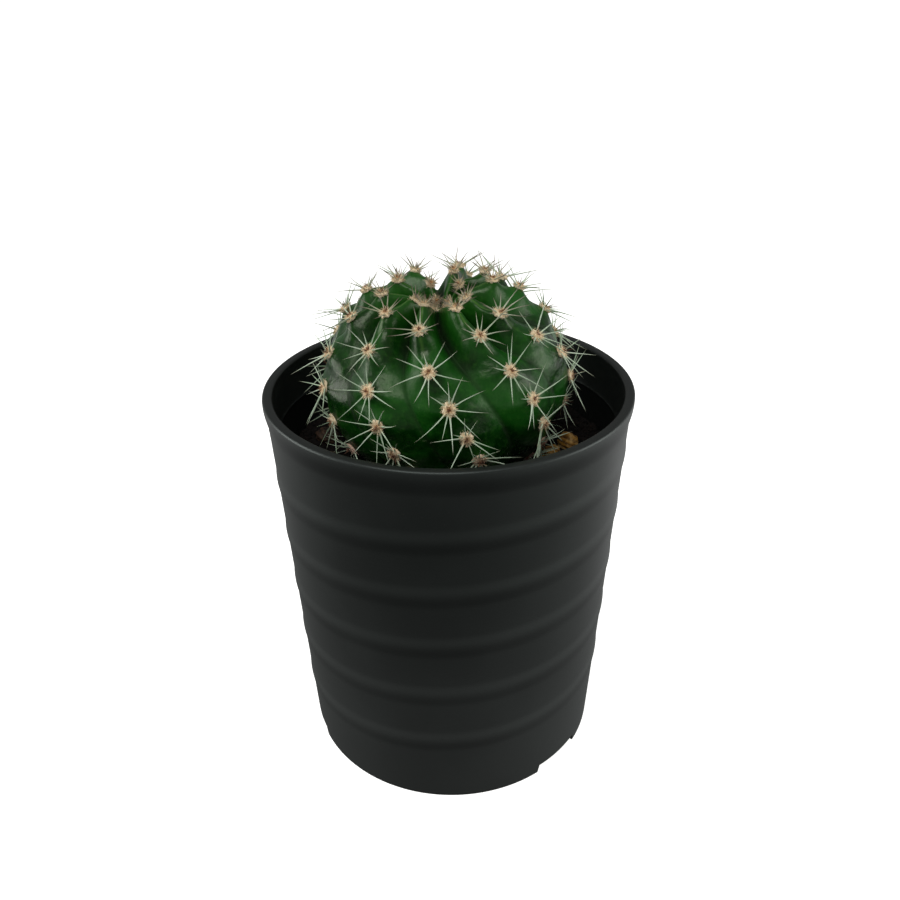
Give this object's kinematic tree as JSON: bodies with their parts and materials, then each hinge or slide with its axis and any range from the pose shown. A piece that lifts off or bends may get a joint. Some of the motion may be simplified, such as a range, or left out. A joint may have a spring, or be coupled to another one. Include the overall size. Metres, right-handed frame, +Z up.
{
  "type": "potted round cactus",
  "caption": "Flattened round cactus with spiralling ribs, woolly areoles and straight spines, in dark soil in a tapered matte black plastic pot with a winding raised bead",
  "frame": {"origin": "centre of the pot's foot, on the surface that the pot stands on", "axes": "+Z up along the pot's axis; -Y is the side that faces the viewer in the picture, with +X to the viewer's right"},
  "size_m": [0.105, 0.105, 0.1532],
  "materials": {
    "pot_plastic": "matte moulded plastic, near black, with a soft satin rim",
    "soil": null,
    "cactus_skin": null,
    "areole_wool": "tan felted wool",
    "spine": null,
    "bark": "rough amber-brown bark"
  },
  "bodies": {
    "root": {"pot": "pot_plastic", "soil": "soil", "cactus": "cactus_skin", "bark_chip_1": "bark", "bark_chip_2": "bark", "bark_chip_3": "bark", "bark_chip_4": "bark", "bark_chip_5": "bark", "bark_chip_6": "bark"}
  },
  "joints": []
}
